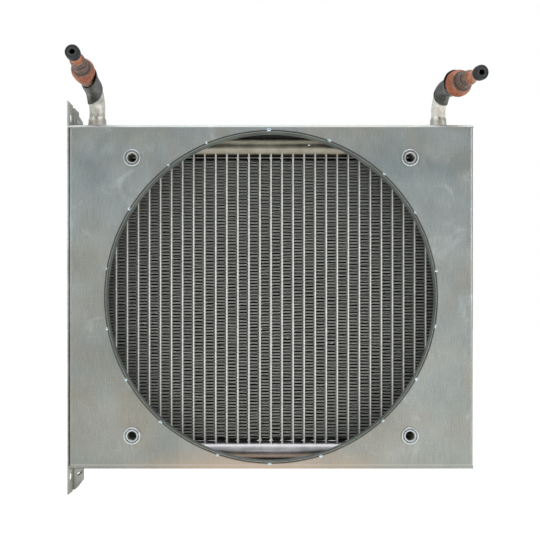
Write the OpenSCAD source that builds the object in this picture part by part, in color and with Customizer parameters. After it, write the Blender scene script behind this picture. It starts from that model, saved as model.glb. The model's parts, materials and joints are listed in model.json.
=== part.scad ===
// Air-cooled radiator and fan shroud: a brazed flat-tube core with round header
// tanks, in a folded sheet shroud with a round fan ring, on a foot plate with ears.
// Millimetres. X is width, +Y runs back through the core, +Z is up.
// The origin is the centre of the fan opening, on the shroud's front face.

/* [Shroud] */
// Width of the shroud over its folded sides
shroud_w = 350; // [346:1:356]
// Height of the shroud over its folded top and bottom
shroud_h = 298; // [296:1:310]
// Depth of the top, bottom and right flanges
flange_d = 52; // [50:1:56]
// Depth of the left flange, which stops in front of the core bracket
left_flange_d = 15.5; // [12:0.5:15.5]
// Thickness of the shroud sheet
sheet_t = 1.2; // [1:0.1:1.5]
// Outside radius of the folds
fold_r = 3; // [2:0.5:4]

/* [Fan ring] */
// Inside diameter of the fan opening
fan_d = 285.4; // [270:0.2:286]
// Depth of the ring that is welded into the opening
ring_d = 12; // [10:1:26]
// Distance between fan bolts, across and up
fan_bolt_pitch = 240; // [236:1:250]
// Bore of a fan rivet nut, the minor diameter of an M8 thread
nut_bore_d = 6.8; // [6:0.1:7.2]
// Number of tack welds round the ring
tack_count = 18; // [8:1:24]

/* [Core] */
// Number of flat tubes
tube_count = 33; // [25:2:33]
// Distance between tubes
tube_pitch = 10; // [9.5:0.1:10]
// Thickness of a flat tube
tube_t = 1.8; // [1.3:0.1:2]
// Depth of a flat tube and of the fins
core_d = 12; // [10:0.5:12]
// Distance between the two header axes
header_pitch = 275; // [268:1:276]
// Outside diameter of a header
header_od = 17; // [17:0.1:17.4]
// Wall of a header
header_wall = 1.5; // [1.2:0.1:1.5]
// Rise of one fin leg; a real strip is folded about three times as finely
fin_rise = 5; // [4:1:10]

/* [Connections] */
// Outside diameter of the left, inlet pipe
inlet_od = 14; // [12.7:0.1:14]
// Outside diameter of the right, outlet pipe
outlet_od = 12.7; // [12.7:0.1:14]
// Bend radius of both pipes, on the centre line
bend_r = 18; // [17:0.5:20]
// Outside diameter of the copper stubs
stub_od = 9.52; // [9:0.01:9.6]
// Outside diameter of the rubber caps
cap_od = 12.1; // [11.9:0.1:13]

/* [Foot] */
// Height of the foot plate over its ears
foot_h = 340.6; // [340:0.2:346]
// Distance between the foot holes
foot_hole_pitch = 314; // [312:1:318]
// Diameter of a foot hole
foot_hole_d = 7; // [6:0.5:8]

/* [Hidden] */
$fn = 96;

gap = 0.05;             // between parts that touch
through = 1;            // how far a cutter runs past what it cuts
fan_r = fan_d / 2;
ring_t = 0.8;
ring_gap = 0.25;         // between the ring and the edge of the opening
opening_r = fan_r + ring_t + ring_gap;
seam_angle = 174;       // where the ends of the ring strip meet
nut_barrel_r = 5.5;
nut_flange_r = 7.6;
nut_flange_t = 1.2;

core_y = 38;            // plane of the header axes and of the tubes' middle
core_z = -1;            // middle of the core
top_z = core_z + header_pitch / 2;
bottom_z = core_z - header_pitch / 2;
header_r = header_od / 2;
header_bore_r = header_r - header_wall;
header_half = 167;
first_tube_x = -(tube_count - 1) / 2 * tube_pitch;
tube_end_inset = 3;     // from a header's axis to the end of a tube
inlet_pass_count = 20;
port_count = 6;
port_pitch = 1.75;
port_size = [1.1, 1.45];
fin_h = 256;
fin_w = tube_pitch - tube_t - 2 * gap;
fin_t = 0.56;           // measured across
side_web_x = tube_pitch * (tube_count + 1) / 2 - tube_t / 2 + 2 * gap;
side_web_t = 1.2;
side_leg = 3.6;
side_h = 264;
side_holes_z = [-90, 0, 90];
cap_lip = 1.5;
seal_half = 140;
seal_y = 33;
seal_d = 10;

foot_t = 1.2;
foot_x = -shroud_w / 2 - gap;               // inner face of the foot plate
bracket_t = 1.6;
bracket_x = -shroud_w / 2;                  // outer face of the core bracket
bracket_y = 16;
bracket_d = 36;
foot_z = -0.9;          // middle of the foot plate's height
bracket_top = 167.3;
bracket_bottom = -170;
ear_slot = [19, 2.6];
ear_slot_at = [36, 159];
foot_hole_y = 9.5;
rivet_r = 1.6;
rivet_head_r = 3;
flange_rivet_y = 8;
flange_rivets_z = [-120, -40, 40, 120];
bracket_rivet_y = 24;
bracket_rivets_z = [-142, -60, 60, 142];
screw_r = 2;
screw_head_r = 3.6;

// The outline of each copper bulb: [radius, distance along the axis] of an adapter that is
// not pushed back.
inlet_bulb = [[6.6, 5], [7, 12], [9.5, 18], [9.75, 21], [9.75, 26], [6.8, 29]];
outlet_bulb = [[9.2, 11.5], [9.6, 14], [8.9, 15.5], [10.8, 18], [11.2, 20], [11.2, 23], [10, 26]];

// A connection is [x, pipe outside diameter, azimuth, elevation, height of the
// corner of its bend, length from the bend to the sleeve's mouth, bend angle where
// the sleeve starts, flare of the sleeve's mouth, outline of the copper bulb, how far
// the copper adapter is pushed back into the sleeve, how far its stub's end is].
inlet = [-158.3, inlet_od, -0.3, 5.7, 185.3, 15.1, 42, 0.9, inlet_bulb, 0, 0];
outlet = [152.4, outlet_od, 11.6, -5.8, 188.2, 13.6, 30, 3.1, outlet_bulb, 11, 6];
pipe_wall = 1.2;
lap = 0.6;              // how far a straight run reaches into its bend
lap_step = 0.03;        // how much thicker the straight run is, on each face
socket_top = 162.5;
socket_floor = 151;
socket_wall = 0.9;
skirt = 0.5;            // how far the socket's foot stands out
sleeve_wall = 1.1;
flare_s = -6;           // where the sleeve's mouth starts to flare
stub_r = stub_od / 2;
stub_wall = 0.8;
lead_r = stub_r - 0.25; // the stub's sized ends, in the adapter and under the cap
copper_wall = 0.9;
// Distances along a pipe's axis from the sleeve's mouth
pipe_end_s = -5;
spigot_s = -11;
stub_end_s = 58.5;
bare_end_s = 52.8;
cap_start_s = 53;
cap_end_s = 60;
// The same, for an adapter that is not pushed back
ring_a_s = 30;
groove_s = 37;
ring_b_s = 38;
ring_b_end_s = 44;
stub_start_s = 38.5;
bare_s = 46;
ring_a_r = 7;
ring_b_r = 6.4;

// ---------------------------------------------------------------- shared shapes

// A cylinder along +Y that starts at y = from.
module along_y(r, from, to) translate([0, from, 0]) rotate([-90, 0, 0]) cylinder(r = r, h = to - from);

// A cylinder along +X that starts at x = from.
module along_x(r, from, to) translate([from, 0, 0]) rotate([0, 90, 0]) cylinder(r = r, h = to - from);

// Children at the four fan bolts.
module at_fan_bolts() for (x = [-1, 1], z = [-1, 1])
    translate([x * fan_bolt_pitch / 2, 0, z * fan_bolt_pitch / 2]) children();

// A quarter of a folded sheet's bend, in the XY plane, with its outside towards -X and -Y.
module fold_profile() intersection() {
    difference() {
        circle(r = fold_r);
        circle(r = fold_r - sheet_t);
    }
    translate([-fold_r, -fold_r]) square(fold_r);
}

// A fold along Z of the given length, with the outside of its corner at the origin.
module fold(length) translate([fold_r, fold_r, -length / 2]) linear_extrude(length) fold_profile();

// Outline of the core bracket: each ear loses a corner at the back, the upper one in steps.
module ear_outline() {
    back = bracket_y + bracket_d;
    polygon([
        [bracket_y, bracket_bottom], [bracket_y + 12, bracket_bottom], [back - 1.3, bracket_bottom + 2],
        [back, bracket_bottom + 5], [back, bracket_top - 18], [back - 5, bracket_top - 8],
        [back - 5.5, bracket_top - 5], [back - 20, bracket_top - 3.3], [back - 20, bracket_top],
        [bracket_y, bracket_top]]);
}

// Stands a YZ outline up as a plate from x = from, t thick.
module plate_yz(from, t) translate([from, 0, 0]) rotate([90, 0, 90]) linear_extrude(t) children();

// A hollow round, swept straight along +Z.
module tube(r_out, r_in, from, to) translate([0, 0, from]) linear_extrude(to - from) difference() {
    circle(r = r_out);
    circle(r = r_in);
}

// ---------------------------------------------------------------- shroud

module shroud_panel() color("lightslategray") difference() {
    union() {
        panel_face();
        for (side = [-1, 1]) {
            panel_side_fold(side);
            panel_end_fold(side);
        }
    }
    along_y(opening_r, -through, sheet_t + through);
    at_fan_bolts() along_y(nut_barrel_r + gap, -through, sheet_t + through);
    for (pipe = [inlet, outlet]) pipe_notch(pipe[0]);
    bracket_relief();
    for (z = side_holes_z) translate([0, core_y, z])
        along_x(screw_r + gap, shroud_w / 2 - 2 * sheet_t, shroud_w / 2 + through);
    for (z = flange_rivets_z) translate([0, flange_rivet_y, z])
        along_x(rivet_r + gap, -shroud_w / 2 - through, -shroud_w / 2 + 2 * sheet_t);
}

module panel_face() translate([-shroud_w / 2 + fold_r, 0, -shroud_h / 2 + fold_r])
    cube([shroud_w - 2 * fold_r, sheet_t, shroud_h - 2 * fold_r]);

// The fold and flange on the left (side -1) or the right (side 1).
module panel_side_fold(side) {
    depth = side < 0 ? left_flange_d : flange_d;
    height = shroud_h - 2 * fold_r;
    mirror([side > 0 ? 1 : 0, 0, 0]) translate([-shroud_w / 2, 0, 0]) {
        fold(height);
        translate([0, fold_r, -height / 2]) cube([sheet_t, depth - fold_r, height]);
    }
}

// The fold and flange at the bottom (side -1) or the top (side 1).
module panel_end_fold(side) mirror([0, 0, side > 0 ? 1 : 0]) translate([0, 0, -shroud_h / 2]) {
    rotate([0, -90, 0]) mirror([0, 0, 1]) fold(shroud_w);
    translate([-shroud_w / 2, fold_r, 0]) cube([shroud_w, flange_d - fold_r, sheet_t]);
}

// A slot in the top flange, open at the back, for a pipe and its socket.
module pipe_notch(x) translate([x, 0, shroud_h / 2 - 2 * sheet_t]) {
    translate([0, core_y, 0]) cylinder(r = 11, h = 4 * sheet_t);
    translate([-11, core_y, 0]) cube([22, flange_d, 4 * sheet_t]);
}

// The top and bottom flanges stop short on the left, where the core bracket passes.
module bracket_relief() translate([-shroud_w / 2 - through, bracket_y - 2 * gap, -shroud_h])
    cube([through + bracket_t + gap, flange_d, 2 * shroud_h]);

module fan_ring() color("slategray") difference() {
    along_y(fan_r + ring_t, 0, ring_d);
    along_y(fan_r, -through, ring_d + through);
    rotate([0, -seam_angle, 0]) translate([fan_r - through, -through, -0.2])
        cube([ring_t + 2 * through, ring_d + 2 * through, 0.4]);
}

// Each weld fills the gap behind it and stands a little proud of the face.
module ring_tack_welds() color("aliceblue") for (i = [0 : tack_count - 1])
    rotate([0, -(i + 0.5) * 360 / tack_count, 0]) {
        translate([opening_r - ring_gap / 2, 0, 0]) along_y(1.2, -0.3, 0);
        translate([opening_r - ring_gap + gap, 0, -0.8]) cube([ring_gap - 2 * gap, sheet_t, 1.6]);
    }

module fan_rivet_nuts() color("gainsboro") at_fan_bolts() difference() {
    union() {
        along_y(nut_flange_r, -nut_flange_t, 0);
        along_y(nut_barrel_r, 0, 16);
        along_y(nut_flange_r - 0.4, sheet_t + gap, 4.5);
    }
    along_y(nut_bore_d / 2, -nut_flange_t - through, 16 + through);
}

// ---------------------------------------------------------------- core

// The section of a flat tube, long side along Y, grown by the given amount.
module tube_section(grow) {
    flat = core_d - tube_t;
    square([tube_t + 2 * grow, flat], center = true);
    for (y = [-1, 1]) translate([0, y * flat / 2]) circle(d = tube_t + 2 * grow);
}

module tube_slots(from, length) for (i = [0 : tube_count - 1])
    translate([first_tube_x + i * tube_pitch, core_y, from])
        linear_extrude(length) tube_section(gap);

module header(z) difference() {
    translate([0, core_y, z]) along_x(header_r, -header_half, header_half);
    translate([0, core_y, z]) along_x(header_bore_r, -header_half - through, header_half + through);
    tube_slots(z > 0 ? z - header_r - through : z, header_r + through);
    if (z > 0) for (pipe = [inlet, outlet]) translate([pipe[0], core_y, z]) cylinder(r = 5, h = header_r + through);
}

module top_header() color("silver") header(top_z);

module bottom_header() color("silver") header(bottom_z);

module header_end_caps() color("darkgray") for (side = [-1, 1], z = [top_z, bottom_z])
    translate([0, core_y, z]) mirror([side < 0 ? 1 : 0, 0, 0]) {
        along_x(header_bore_r - gap, header_half - 4, header_half);
        along_x(header_r, header_half + gap, header_half + cap_lip);
        along_x(header_bore_r - 1, header_half - 4, header_half + cap_lip);
    }

module pass_baffle() color("darkgray")
    translate([first_tube_x + (inlet_pass_count - 0.5) * tube_pitch, core_y, top_z])
        along_x(header_bore_r - gap, -1, 1);

module flat_tubes(first, last) for (i = [first : last])
    translate([first_tube_x + i * tube_pitch, core_y, bottom_z + tube_end_inset])
        linear_extrude(header_pitch - 2 * tube_end_inset) difference() {
            tube_section(0);
            for (k = [0 : port_count - 1])
                translate([0, (k - (port_count - 1) / 2) * port_pitch]) square(port_size, center = true);
        }

module inlet_pass_tubes() color("whitesmoke") flat_tubes(0, inlet_pass_count - 1);

module outlet_pass_tubes() color("whitesmoke") flat_tubes(inlet_pass_count, tube_count - 1);

// One folded strip: a zigzag that rises fin_rise at each leg.
module fin_strip() {
    legs = floor(fin_h / fin_rise);
    left = [for (i = [0 : legs]) [(i % 2 == 0 ? -1 : 1) * (fin_w - fin_t) / 2 - fin_t / 2, i * fin_rise]];
    right = [for (i = [legs : -1 : 0]) left[i] + [fin_t, 0]];
    rotate([90, 0, 0]) linear_extrude(core_d, center = true) polygon(concat(left, right));
}

module fin_strips() color("dimgray") for (i = [0 : tube_count])
    translate([first_tube_x + (i - 0.5) * tube_pitch, core_y, core_z - fin_h / 2]) fin_strip();

// The channel that closes a side of the core, with its open side outwards.
module side_channel(side) color("lightgray") mirror([side < 0 ? 1 : 0, 0, 0]) difference() {
    translate([side_web_x, core_y - core_d / 2, core_z - side_h / 2])
        cube([side_leg, core_d, side_h]);
    translate([side_web_x + side_web_t, core_y - core_d / 2 + side_web_t, core_z - side_h / 2 - through])
        cube([side_leg, core_d - 2 * side_web_t, side_h + 2 * through]);
    for (z = side_holes_z) translate([0, core_y, z])
        along_x(screw_r + gap, side_web_x - through, side_web_x + side_web_t + through);
}

module left_side_channel() side_channel(-1);

module right_side_channel() side_channel(1);

// ---------------------------------------------------------------- foot and fasteners

module ear_cuts() for (z = [-1, 1]) translate([ear_slot_at.x, z * ear_slot_at.y])
    square(ear_slot, center = true);

// A hole with a countersink that opens on the outer, -X face of the foot plate.
module countersink(y, z, r, head_r) translate([foot_x, y, z]) {
    along_x(r + gap, -foot_t - through, through);
    translate([-foot_t, 0, 0]) rotate([0, 90, 0]) cylinder(r1 = head_r, r2 = r + gap, h = foot_t);
}

module foot_plate() color("silver") difference() {
    plate_yz(foot_x - foot_t, foot_t) difference() {
        union() {
            translate([0.3, foot_z - foot_h / 2]) square([bracket_y, foot_h]);
            ear_outline();
        }
        ear_cuts();
        for (z = [-1, 1]) translate([foot_hole_y, z * foot_hole_pitch / 2]) circle(d = foot_hole_d);
    }
    for (z = flange_rivets_z) countersink(flange_rivet_y, z, rivet_r, rivet_head_r);
    for (z = bracket_rivets_z) countersink(bracket_rivet_y, z, rivet_r, rivet_head_r);
    for (z = side_holes_z) countersink(core_y, z, screw_r, screw_head_r);
}

module core_bracket() color("darkgray") difference() {
    plate_yz(bracket_x, bracket_t) difference() {
        ear_outline();
        ear_cuts();
        for (z = bracket_rivets_z) translate([bracket_rivet_y, z]) circle(r = rivet_r + gap);
        for (z = side_holes_z) translate([core_y, z]) circle(r = screw_r + gap);
    }
}

// A rivet with a flush countersunk head outside and a low head at x = inner.
module rivet(inner) {
    translate([foot_x - foot_t, 0, 0]) rotate([0, 90, 0])
        cylinder(r1 = rivet_head_r - gap, r2 = rivet_r, h = foot_t);
    along_x(rivet_r, foot_x - foot_t, inner);
    along_x(rivet_head_r, inner + gap, inner + 1);
    along_x(rivet_r, inner, inner + 0.5);
}

module foot_rivets() color("gray") {
    for (z = flange_rivets_z) translate([0, flange_rivet_y, z]) rivet(-shroud_w / 2 + sheet_t);
    for (z = bracket_rivets_z) translate([0, bracket_rivet_y, z]) rivet(bracket_x + bracket_t);
}

module bracket_screws() color("gray") for (z = side_holes_z) translate([0, core_y, z]) difference() {
    union() {
        translate([foot_x - foot_t, 0, 0]) rotate([0, 90, 0])
            cylinder(r1 = screw_head_r - gap, r2 = screw_r, h = foot_t);
        along_x(screw_r, foot_x - foot_t, -side_web_x - gap);
    }
    cross_recess(foot_x - foot_t);
}

module shroud_screws() color("gray") for (z = side_holes_z) translate([0, core_y, z])
    mirror([1, 0, 0]) difference() {
        union() {
            along_x(4, -shroud_w / 2 - 2.4, -shroud_w / 2 - gap);
            along_x(screw_r, -shroud_w / 2 - 1, -side_web_x - gap);
        }
        cross_recess(-shroud_w / 2 - 2.4);
    }

// A cross recess cut into a screw head whose top is at x = face.
module cross_recess(face) for (turn = [0, 90]) rotate([turn, 0, 0])
    translate([face - through, -1.9, -0.4]) cube([through + 0.9, 3.8, 0.8]);

// ---------------------------------------------------------------- connections

// Children in a connection's own frame: the pipe stands on z = 0 and bends towards -Y.
module at_connection(pipe) translate([pipe[0], core_y, 0]) rotate([0, 0, pipe[2]]) children();

function bend_angle(pipe) = 90 - pipe[3];
function bend_start(pipe) = pipe[4] - bend_r * tan(bend_angle(pipe) / 2);

// Children on a pipe's straight end: their +Z runs along it, from the sleeve's mouth.
module at_mouth(pipe) at_connection(pipe) {
    a = bend_angle(pipe);
    translate([0, bend_r * (cos(a) - 1), bend_start(pipe) + bend_r * sin(a)])
        rotate([a, 0, 0]) translate([0, 0, pipe[5]]) children();
}

// A straight run, drawn a hair thicker than its bend so that the lap is a clean step.
module run(r_out, r_in, from, to) tube(r_out + lap_step, r_in - lap_step, from, to);

// A hollow bend from one angle to another on the pipe's centre line.
module bend(pipe, r_out, r_in, from, to) at_connection(pipe)
    translate([0, -bend_r, bend_start(pipe)]) rotate([90, 0, 90]) rotate([0, 0, from])
        rotate_extrude(angle = to - from) translate([bend_r, 0]) difference() {
            circle(r = r_out);
            circle(r = r_in);
        }

module pipe_run(pipe) {
    r = pipe[1] / 2;
    at_connection(pipe) run(r, r - pipe_wall, socket_floor + gap, bend_start(pipe) + lap);
    bend(pipe, r, r - pipe_wall, 0, bend_angle(pipe));
    at_mouth(pipe) run(r, r - pipe_wall, -pipe[5] - lap, pipe_end_s);
}

module inlet_pipe() color("gainsboro") pipe_run(inlet);

module outlet_pipe() color("gainsboro") pipe_run(outlet);

// The socket saddled on the top header, with a waisted skirt and a rim.
module pipe_socket(pipe) at_connection(pipe) {
    r = pipe[1] / 2 + socket_wall;
    difference() {
        rotate_extrude() polygon([[0, top_z], [r + skirt, top_z], [r + skirt, 156], [r, 159.5],
            [r, socket_top - 0.4], [r - 0.4, socket_top], [0, socket_top]]);
        translate([0, 0, socket_floor]) cylinder(r = pipe[1] / 2 + lap_step + gap, h = 20);
        translate([0, 0, top_z]) cylinder(r = 5, h = 30);
        translate([0, 0, top_z]) rotate([0, 0, -pipe[2]]) along_x(header_r + gap, -20, 20);
    }
}

module inlet_socket() color("silver") pipe_socket(inlet);

module outlet_socket() color("silver") pipe_socket(outlet);

// Heat-shrink from part way round the bend to a flared mouth.
module shrink_sleeve(pipe) {
    r = pipe[1] / 2 + 2 * lap_step + gap;
    outer = r + sleeve_wall;
    flare = pipe[7];
    bend(pipe, outer, r, pipe[6], bend_angle(pipe));
    at_mouth(pipe) rotate_extrude() polygon([
        [r - lap_step, -pipe[5] - lap], [outer + lap_step, -pipe[5] - lap], [outer + lap_step, flare_s],
        [outer + flare, 0], [r + flare, 0], [r - lap_step, flare_s]]);
}

module inlet_shrink_sleeve() color("dimgray") shrink_sleeve(inlet);

module outlet_shrink_sleeve() color("dimgray") shrink_sleeve(outlet);

// Children at an adapter's own zero, which its set-back moves towards the pipe.
module at_adapter(pipe) at_mouth(pipe) translate([0, 0, -pipe[9]]) children();

// The copper adapter: a spigot, a spun bulb and two stepped rings, hollow throughout.
module copper_adapter(pipe) at_adapter(pipe) {
    spigot_r = pipe[1] / 2 - pipe_wall - lap_step - gap;
    spigot_start = spigot_s + pipe[9];
    neck_s = pipe[9] - 2;
    w = copper_wall;
    bore = lead_r + gap;
    outline = concat([[spigot_r, spigot_start], [spigot_r, neck_s]], pipe[8], [[ring_a_r, ring_a_s]]);
    lining = [for (i = [len(outline) - 1 : -1 : 0]) outline[i] - [w, 0]];
    rotate_extrude() polygon(concat(outline, [
        [ring_a_r, groove_s], [ring_b_r, groove_s + 0.5], [ring_b_r, ring_b_end_s], [bore, ring_b_end_s],
        [bore, ring_b_s], [ring_b_r - w, ring_b_s], [ring_a_r - w, groove_s - w]], lining));
}

module inlet_copper_adapter() color("sienna") copper_adapter(inlet);

module outlet_copper_adapter() color("sienna") copper_adapter(outlet);

// The copper end: full size where it is bare, and sized down in the adapter and under the cap.
module copper_stub(pipe) at_adapter(pipe) {
    reach = pipe[9] - pipe[10];
    rotate_extrude() polygon([
        [stub_r - stub_wall, stub_start_s], [lead_r, stub_start_s], [lead_r, bare_s], [stub_r, bare_s],
        [stub_r, bare_end_s + reach], [lead_r, bare_end_s + reach], [lead_r, stub_end_s + reach],
        [stub_r - stub_wall, stub_end_s + reach]]);
}

module inlet_copper_stub() color("chocolate") copper_stub(inlet);

module outlet_copper_stub() color("chocolate") copper_stub(outlet);

// The bead of braze where the stub leaves the adapter.
module braze_ring(pipe) at_adapter(pipe) rotate_extrude() polygon([
    [lead_r + gap, ring_b_end_s + gap], [ring_b_r - 0.3, ring_b_end_s + gap],
    [lead_r + 0.6, bare_s - 0.2], [lead_r + gap, bare_s - 0.2]]);

module inlet_braze_ring() color("rosybrown") braze_ring(inlet);

module outlet_braze_ring() color("rosybrown") braze_ring(outlet);

// A rubber cap: a cup over the stub, with a dished and vented end.
module rubber_cap(pipe) at_mouth(pipe) translate([0, 0, -pipe[10]]) {
    r = cap_od / 2;
    rotate_extrude() polygon([
        [lead_r + gap, cap_start_s], [r - 0.6, cap_start_s], [r, cap_start_s + 0.6],
        [r, cap_end_s - 1], [r - 1, cap_end_s], [r - 1.9, cap_end_s], [r - 2.3, cap_end_s - 0.5],
        [r - 3, cap_end_s - 0.5], [1.9, cap_end_s - 1], [1.9, stub_end_s + gap],
        [lead_r + gap, stub_end_s + gap]]);
}

module inlet_cap() color("darkslategray") rubber_cap(inlet);

module outlet_cap() color("darkslategray") rubber_cap(outlet);

// A foam strip between a header and the shroud's flange, which keeps air from going round the core.
module seal(from, to) translate([-seal_half, seal_y, from]) cube([2 * seal_half, seal_d, to - from]);

module top_seal() color("black") seal(top_z + header_r + gap, shroud_h / 2 - sheet_t - gap);

module bottom_seal() color("black") seal(-shroud_h / 2 + sheet_t + gap, bottom_z - header_r - gap);

// ---------------------------------------------------------------- nodes

shroud_panel();
fan_ring();
ring_tack_welds();
fan_rivet_nuts();
top_header();
bottom_header();
header_end_caps();
pass_baffle();
inlet_pass_tubes();
outlet_pass_tubes();
fin_strips();
left_side_channel();
right_side_channel();
foot_plate();
core_bracket();
foot_rivets();
bracket_screws();
shroud_screws();
inlet_socket();
outlet_socket();
inlet_pipe();
outlet_pipe();
inlet_shrink_sleeve();
outlet_shrink_sleeve();
inlet_copper_adapter();
outlet_copper_adapter();
inlet_copper_stub();
outlet_copper_stub();
inlet_braze_ring();
outlet_braze_ring();
inlet_cap();
outlet_cap();
top_seal();
bottom_seal();
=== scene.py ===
import bisect
import functools
import json
import math
import random

import bpy
from mathutils import Euler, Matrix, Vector, noise


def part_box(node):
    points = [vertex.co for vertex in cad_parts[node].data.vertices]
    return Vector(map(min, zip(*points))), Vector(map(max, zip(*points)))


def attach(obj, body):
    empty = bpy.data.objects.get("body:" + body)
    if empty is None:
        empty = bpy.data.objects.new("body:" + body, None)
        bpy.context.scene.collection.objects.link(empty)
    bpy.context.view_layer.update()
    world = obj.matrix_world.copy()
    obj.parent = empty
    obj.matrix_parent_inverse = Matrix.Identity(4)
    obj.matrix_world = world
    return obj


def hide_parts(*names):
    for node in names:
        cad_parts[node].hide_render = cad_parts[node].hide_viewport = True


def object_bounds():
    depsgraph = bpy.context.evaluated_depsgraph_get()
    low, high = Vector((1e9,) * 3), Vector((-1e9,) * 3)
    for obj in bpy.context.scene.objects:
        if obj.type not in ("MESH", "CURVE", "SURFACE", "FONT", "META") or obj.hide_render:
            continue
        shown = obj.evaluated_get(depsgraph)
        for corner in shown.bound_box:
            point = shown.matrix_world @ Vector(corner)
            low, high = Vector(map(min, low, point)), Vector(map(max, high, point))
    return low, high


# The radiator's looks: finer pieces in place of the plain solids, and a procedural
# material on every piece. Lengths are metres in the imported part's own frame.
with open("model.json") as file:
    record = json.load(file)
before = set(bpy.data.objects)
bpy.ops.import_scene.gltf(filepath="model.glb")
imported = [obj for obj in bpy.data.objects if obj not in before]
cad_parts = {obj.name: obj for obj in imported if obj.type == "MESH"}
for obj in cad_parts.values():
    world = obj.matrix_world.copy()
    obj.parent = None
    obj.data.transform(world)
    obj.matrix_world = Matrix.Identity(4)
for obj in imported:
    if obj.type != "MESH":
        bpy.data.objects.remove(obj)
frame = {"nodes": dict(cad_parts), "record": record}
frame_low, frame_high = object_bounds()

MM = 0.001
SEED = 7
UP = Vector((0, 0, 1))
BODY = "radiator"
MOUNTS = {mount["name"]: mount for mount in frame["record"]["mounts"]}
box = functools.lru_cache(maxsize=None)(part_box)

# The core: pitch of the flat tubes and of the legs of a real fin strip; the strip's thickness, how
# far it waves through its depth, its gap to the tubes, a leg's slope and how far the legs close up
# in pairs; how far the last leg stands above the CAD strip; how much of the strip is set back by
# the top and the bottom header, how far back, and its gap to them; the braze on a tube at each turn
TUBE_PITCH = 10 * MM
LEG_SPACING = 1.47 * MM
FIN_THICKNESS = 0.26 * MM
FIN_WAVE = 2.1 * MM
FIN_CLEARANCE = 0.06 * MM
LEG_SLOPE = 0.03 * MM
PAIR_SHIFT = 0.27 * MM
LAST_LEG_RISE = 0.7 * MM
TOP_LEGS = 1.8 * MM
BOTTOM_LEGS = 2 * MM
END_RECESS = 5 * MM
HEADER_CLEARANCE = 0.4 * MM
FILLET_HEIGHT = 0.26 * MM
FILLET_REACH = 0.5 * MM

# The connections, and the sides of a swept piece
BEND_RADIUS = 18 * MM
PIPE_WALL = 1.2 * MM
SIDES = 40

# Each connection's own sizes. Of the pipe and the stub: the pipe's radius, and where the stub's
# mount is along the centre line. Of the sleeve: its start as a turn of the bend in degrees, how far
# its slanted cut reaches and the side it leaves bare; the flare of its mouth and the flare's length;
# the slant of the mouth's cut, how far ahead the mouth is, how far it gapes and on which side. Of
# the copper: the outline up to its rings as (radius, place) in millimetres, how far the adapter and
# the stub's end are pushed back, and how far the adapter leans and to which side.
FITTINGS = {
    "inlet": {
        "pipe": 7 * MM, "mount_at": 49.4 * MM, "sleeve_turn": 54, "cut_slant": 9 * MM, "bare_side": -30,
        "flare": 0.5 * MM, "flare_length": 7 * MM, "mouth_slant": 7.5 * MM, "mouth_ahead": 6 * MM,
        "gape": 1.2 * MM, "gape_side": -20,
        "copper": [(6.2, 4), (6.5, 8), (7.0, 12), (8.4, 16), (9.6, 19.5), (9.8, 23), (9.3, 26), (8.6, 27.8),
                   (6.4, 28.7), (6.2, 29.5)],
        "set_back": 0, "end_back": 0, "lean": 1.7 * MM, "lean_side": 150},
    "outlet": {
        "pipe": 6.35 * MM, "mount_at": 40.9 * MM, "sleeve_turn": 42, "cut_slant": 5 * MM, "bare_side": -120,
        "flare": 3.1 * MM, "flare_length": 15 * MM, "mouth_slant": 3.5 * MM, "mouth_ahead": 2.5 * MM,
        "gape": 1.9 * MM, "gape_side": 220,
        "copper": [(6.6, 10), (8.2, 12), (9.3, 14), (9.1, 15.5), (10.6, 17.5), (11.2, 19.5), (11.2, 23),
                   (10.2, 26), (7.6, 29)],
        "set_back": 11 * MM, "end_back": 6 * MM, "lean": 0.9 * MM, "lean_side": 110}}

# Places along a centre line, from the sleeve's mouth; then the radii of the rings and of the cap
PIPE_END = -5 * MM
SPIGOT_START = -11 * MM
NECK_START = -2 * MM
RING_A_START = 30 * MM
GROOVE = 37 * MM
RING_B_END = 44 * MM
CAP_START = 53 * MM
CAP_END = 60 * MM
STUB_END = 58.5 * MM
RING_A = 6.7 * MM
RING_B = 6.2 * MM
CAP_RADIUS = 6.05 * MM

# Small details: beads that hold the ring, and a drop of filler's place on the top header
TACK_WELDS = 18
DROP_X = 34.5 * MM
DROP_ABOVE_AXIS = 1.5 * MM

# Painted reflections and shade up a header, from its underside to its crown, as (height, grey)
HEADER_PAINTED_BANDS = [
    (0.0, 0.3), (0.1, 0.35), (0.18, 0.5), (0.36, 0.56), (0.43, 0.36), (0.52, 0.5), (0.64, 1.0), (1.0, 1.0)]

# The floor is a lit white sweep: half its width in metres, the light that it gives off besides what
# it reflects, and how much more of it the camera sees
FLOOR_REACH = 12
FLOOR_GLOW = 0.42
FLOOR_GLOW_TO_CAMERA = 0.45

# The photograph's camera: lens and sensor in millimetres, its shift and its place
LENS = 52.5
SENSOR = 36
SHIFT = (-0.0019, 0.0926)
CAMERA_PLACE = (0, -0.68, -0.02)


# ---- mesh helpers


def add_object(name, data):
    """A new object in the scene."""
    thing = bpy.data.objects.new(name, data)
    bpy.context.scene.collection.objects.link(thing)
    return thing


def add_piece(name, verts, faces, material, replaced, body=BODY, sharp_angle=40):
    """A new mesh piece that rides on a body and stands for the CAD nodes in replaced."""
    mesh = bpy.data.meshes.new(name)
    mesh.from_pydata([tuple(v) for v in verts], [], faces)
    mesh.update()
    mesh.polygons.foreach_set("use_smooth", [True] * len(mesh.polygons))
    mesh.set_sharp_from_angle(angle=math.radians(sharp_angle))
    mesh.materials.append(material)
    piece = add_object(name, mesh)
    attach(piece, body)
    if replaced:
        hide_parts(*replaced)
    return piece


def loop_faces(rings, sides, first=0):
    """Quads over rings of vertices that close on themselves both ways, like a ring doughnut."""
    faces = []
    for i in range(rings):
        here = first + i * sides
        after = first + (i + 1) % rings * sides
        for k in range(sides):
            next_k = (k + 1) % sides
            faces.append((here + k, here + next_k, after + next_k, after + k))
    return faces


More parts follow.
